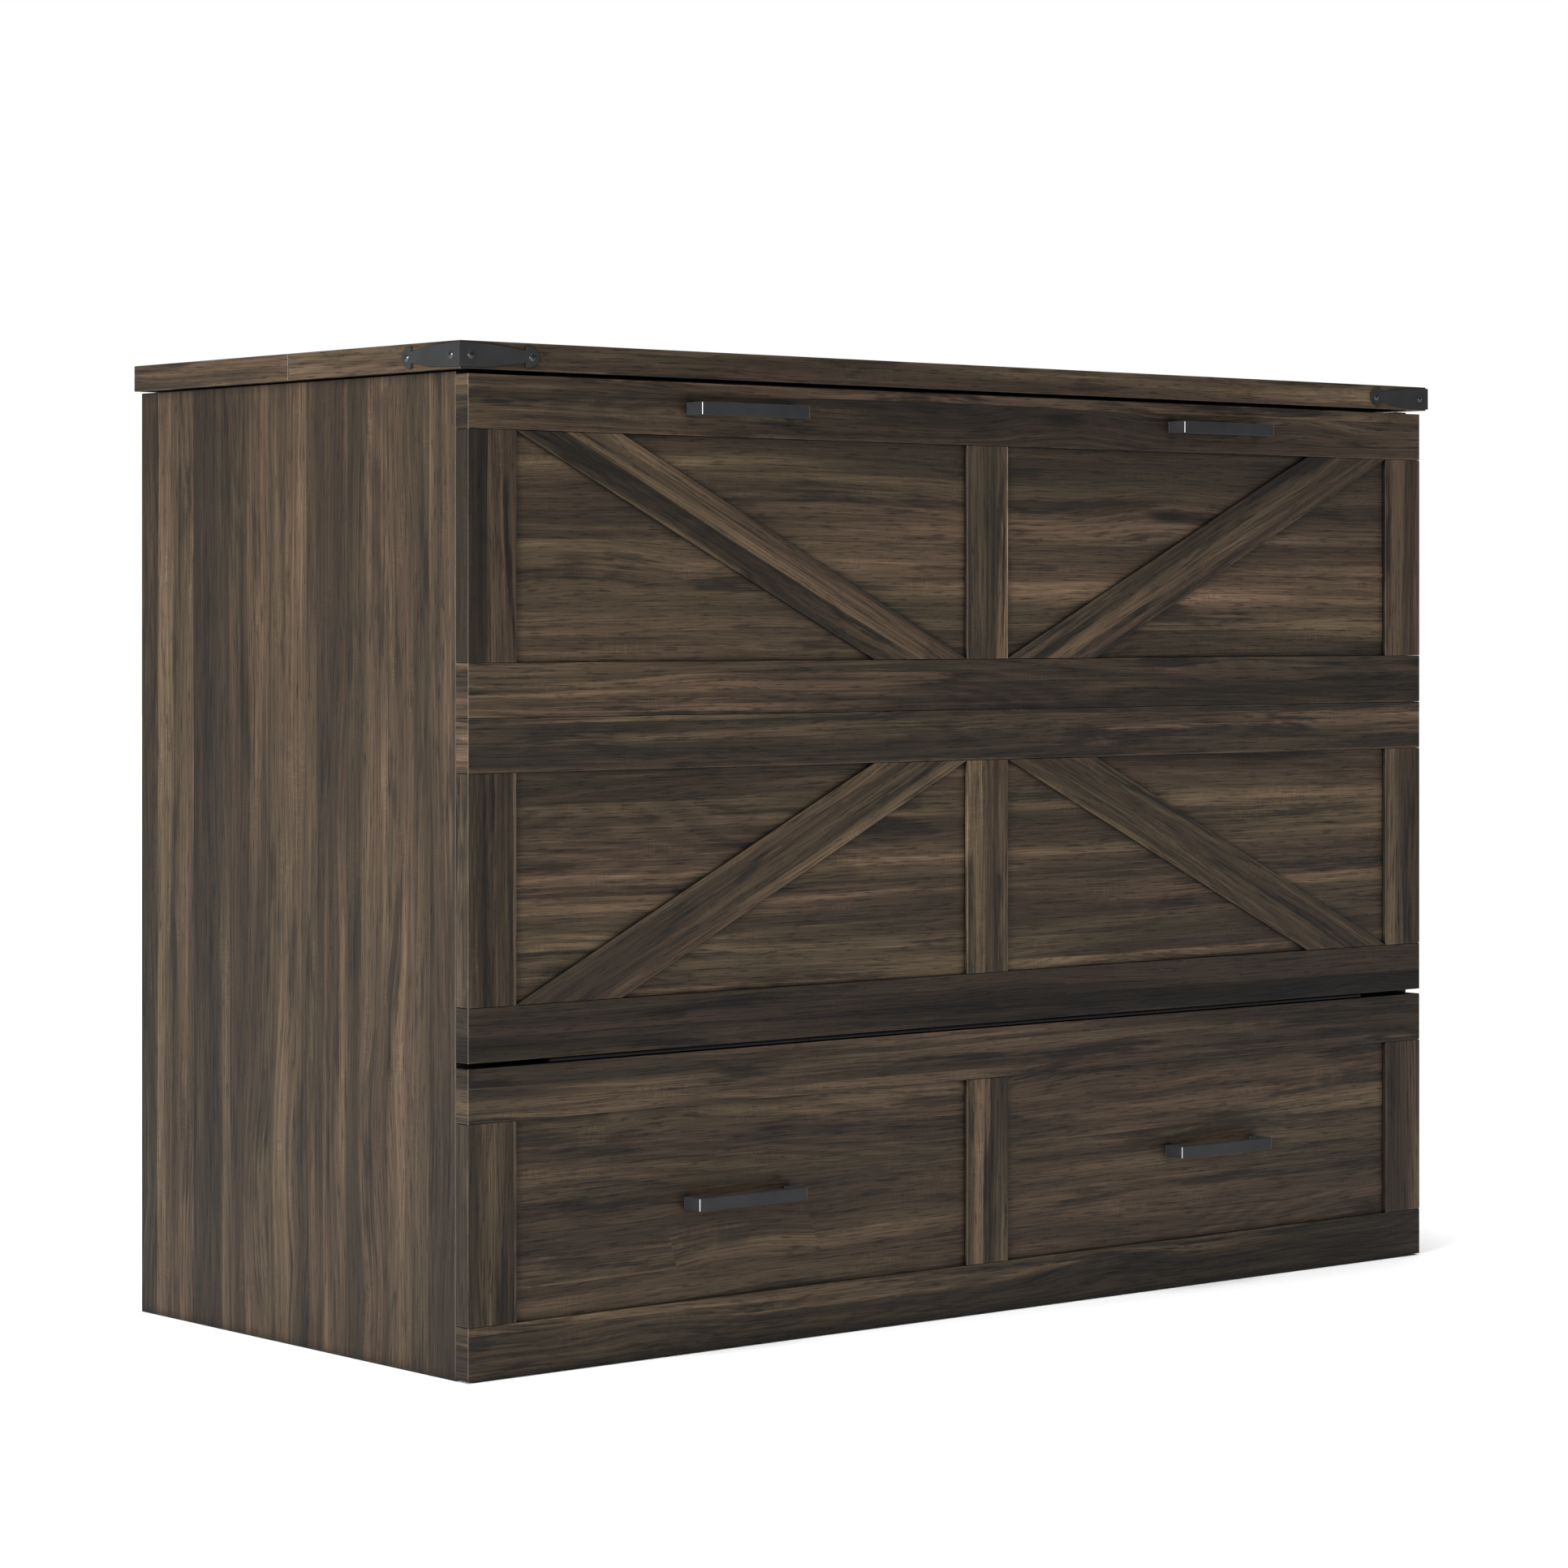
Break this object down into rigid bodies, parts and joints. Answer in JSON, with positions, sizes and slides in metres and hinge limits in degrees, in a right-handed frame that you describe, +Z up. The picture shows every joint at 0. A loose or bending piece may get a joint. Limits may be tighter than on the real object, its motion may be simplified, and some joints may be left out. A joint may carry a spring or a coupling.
{
  "type": "cabinet bed",
  "caption": "Closed cabinet bed: a chest with a folding lid, a fold-down braced front that carries a hinged foot deck on legs, a folded mattress inside and a wide drawer below.",
  "frame": {"origin": "on the floor, under the middle of the whole object", "axes": "+Z up, the fronts and handles face -Y, +X to the right of someone facing them"},
  "size_m": [1.6704, 0.7418, 1.2181],
  "materials": {
    "laminate": "matt rustic grey-brown wood-grain laminate",
    "lining": "plain matt wood-grain laminate inside",
    "black_metal": "charcoal black powder coat",
    "zinc_steel": "zinc plated",
    "ticking": "woven mattress cover"
  },
  "bodies": {
    "carcass": {"side_left": "laminate", "side_right": "laminate", "back_panel": "laminate", "base_deck": "lining", "bottom_stretcher": "lining", "lid_rear": "laminate", "lid_hinge_fixed_leaf": "black_metal", "front_hinge_fixed_leaf": "black_metal", "slide_outer_left": "zinc_steel", "slide_outer_right": "zinc_steel", "mattress_rear": "ticking", "mattress_middle": "ticking", "mattress_front": "ticking"},
    "lid": {"lid_front": "laminate", "lid_hinge_moving_leaf": "black_metal", "corner_strap_left": "black_metal", "corner_strap_right": "black_metal"},
    "front": {"front_bottom_rail": "laminate", "front_hinge_moving_leaf": "black_metal", "front_left_handle": "black_metal", "front_lower_centre_stile": "laminate", "front_lower_field": "laminate", "front_lower_left_brace": "laminate", "front_lower_left_stile": "laminate", "front_lower_middle_rail": "laminate", "front_lower_right_brace": "laminate", "front_lower_right_stile": "laminate", "front_right_handle": "black_metal", "front_top_rail": "laminate", "front_upper_centre_stile": "laminate", "front_upper_field": "laminate", "front_upper_left_brace": "laminate", "front_upper_left_stile": "laminate", "front_upper_middle_rail": "laminate", "front_upper_right_brace": "laminate", "front_upper_right_stile": "laminate", "foot_hinge_fixed_leaf": "black_metal"},
    "foot_section": {"foot_deck": "lining", "foot_hinge_moving_leaf": "black_metal", "end_leg_bracket_left": "black_metal", "end_leg_bracket_right": "black_metal"},
    "end_leg": {"end_leg_panel": "lining"},
    "left_mid_leg": {"mid_leg_left": "black_metal"},
    "right_mid_leg": {"mid_leg_right": "black_metal"},
    "drawer": {"drawer_back": "lining", "drawer_bottom": "lining", "drawer_bottom_rail": "laminate", "drawer_centre_stile": "laminate", "drawer_field": "laminate", "drawer_left_handle": "black_metal", "drawer_left_side": "lining", "drawer_left_stile": "laminate", "drawer_right_handle": "black_metal", "drawer_right_side": "lining", "drawer_right_stile": "laminate", "drawer_top_rail": "laminate", "slide_inner_left": "zinc_steel", "slide_inner_right": "zinc_steel"},
    "left_slide": {"slide_middle_left": "zinc_steel"},
    "right_slide": {"slide_middle_right": "zinc_steel"}
  },
  "joints": [
    {"name": "lid_fold", "type": "hinge", "parent": "carcass", "child": "lid", "pos_m": [0, 0.0156, 1.2155], "axis": [-1, 0, 0], "range_deg": [0, 180]},
    {"name": "front_fold", "type": "hinge", "parent": "carcass", "child": "front", "pos_m": [0, -0.3378, 0.3688], "axis": [1, 0, 0], "range_deg": [0, 90]},
    {"name": "foot_unfold", "type": "hinge", "parent": "front", "child": "foot_section", "pos_m": [0, -0.3148, 1.1766], "axis": [1, 0, 0], "range_deg": [0, 180]},
    {"name": "end_leg_fold", "type": "hinge", "parent": "foot_section", "child": "end_leg", "pos_m": [0, -0.2855, 0.755], "axis": [-1, 0, 0], "range_deg": [0, 90]},
    {"name": "left_mid_leg_fold", "type": "hinge", "parent": "foot_section", "child": "left_mid_leg", "pos_m": [-0.77, -0.2855, 1.09], "axis": [0, 0, 1], "range_deg": [0, 90]},
    {"name": "right_mid_leg_fold", "type": "hinge", "parent": "foot_section", "child": "right_mid_leg", "pos_m": [0.77, -0.2855, 1.09], "axis": [0, 0, -1], "range_deg": [0, 90]},
    {"name": "drawer_slide", "type": "slide", "parent": "carcass", "child": "drawer", "axis": [0, -1, 0], "range_m": [0, 0.45]},
    {"name": "left_slide_run", "type": "slide", "parent": "carcass", "child": "left_slide", "axis": [0, -1, 0], "range_m": [0, 0.225]},
    {"name": "right_slide_run", "type": "slide", "parent": "carcass", "child": "right_slide", "axis": [0, -1, 0], "range_m": [0, 0.225]}
  ],
  "couplings": [
    {"joint": "foot_unfold", "follows": "front_fold", "ratio": 2},
    {"joint": "end_leg_fold", "follows": "front_fold", "ratio": 1},
    {"joint": "left_mid_leg_fold", "follows": "front_fold", "ratio": 1},
    {"joint": "right_mid_leg_fold", "follows": "front_fold", "ratio": 1},
    {"joint": "left_slide_run", "follows": "drawer_slide", "ratio": 0.5},
    {"joint": "right_slide_run", "follows": "drawer_slide", "ratio": 0.5}
  ]
}
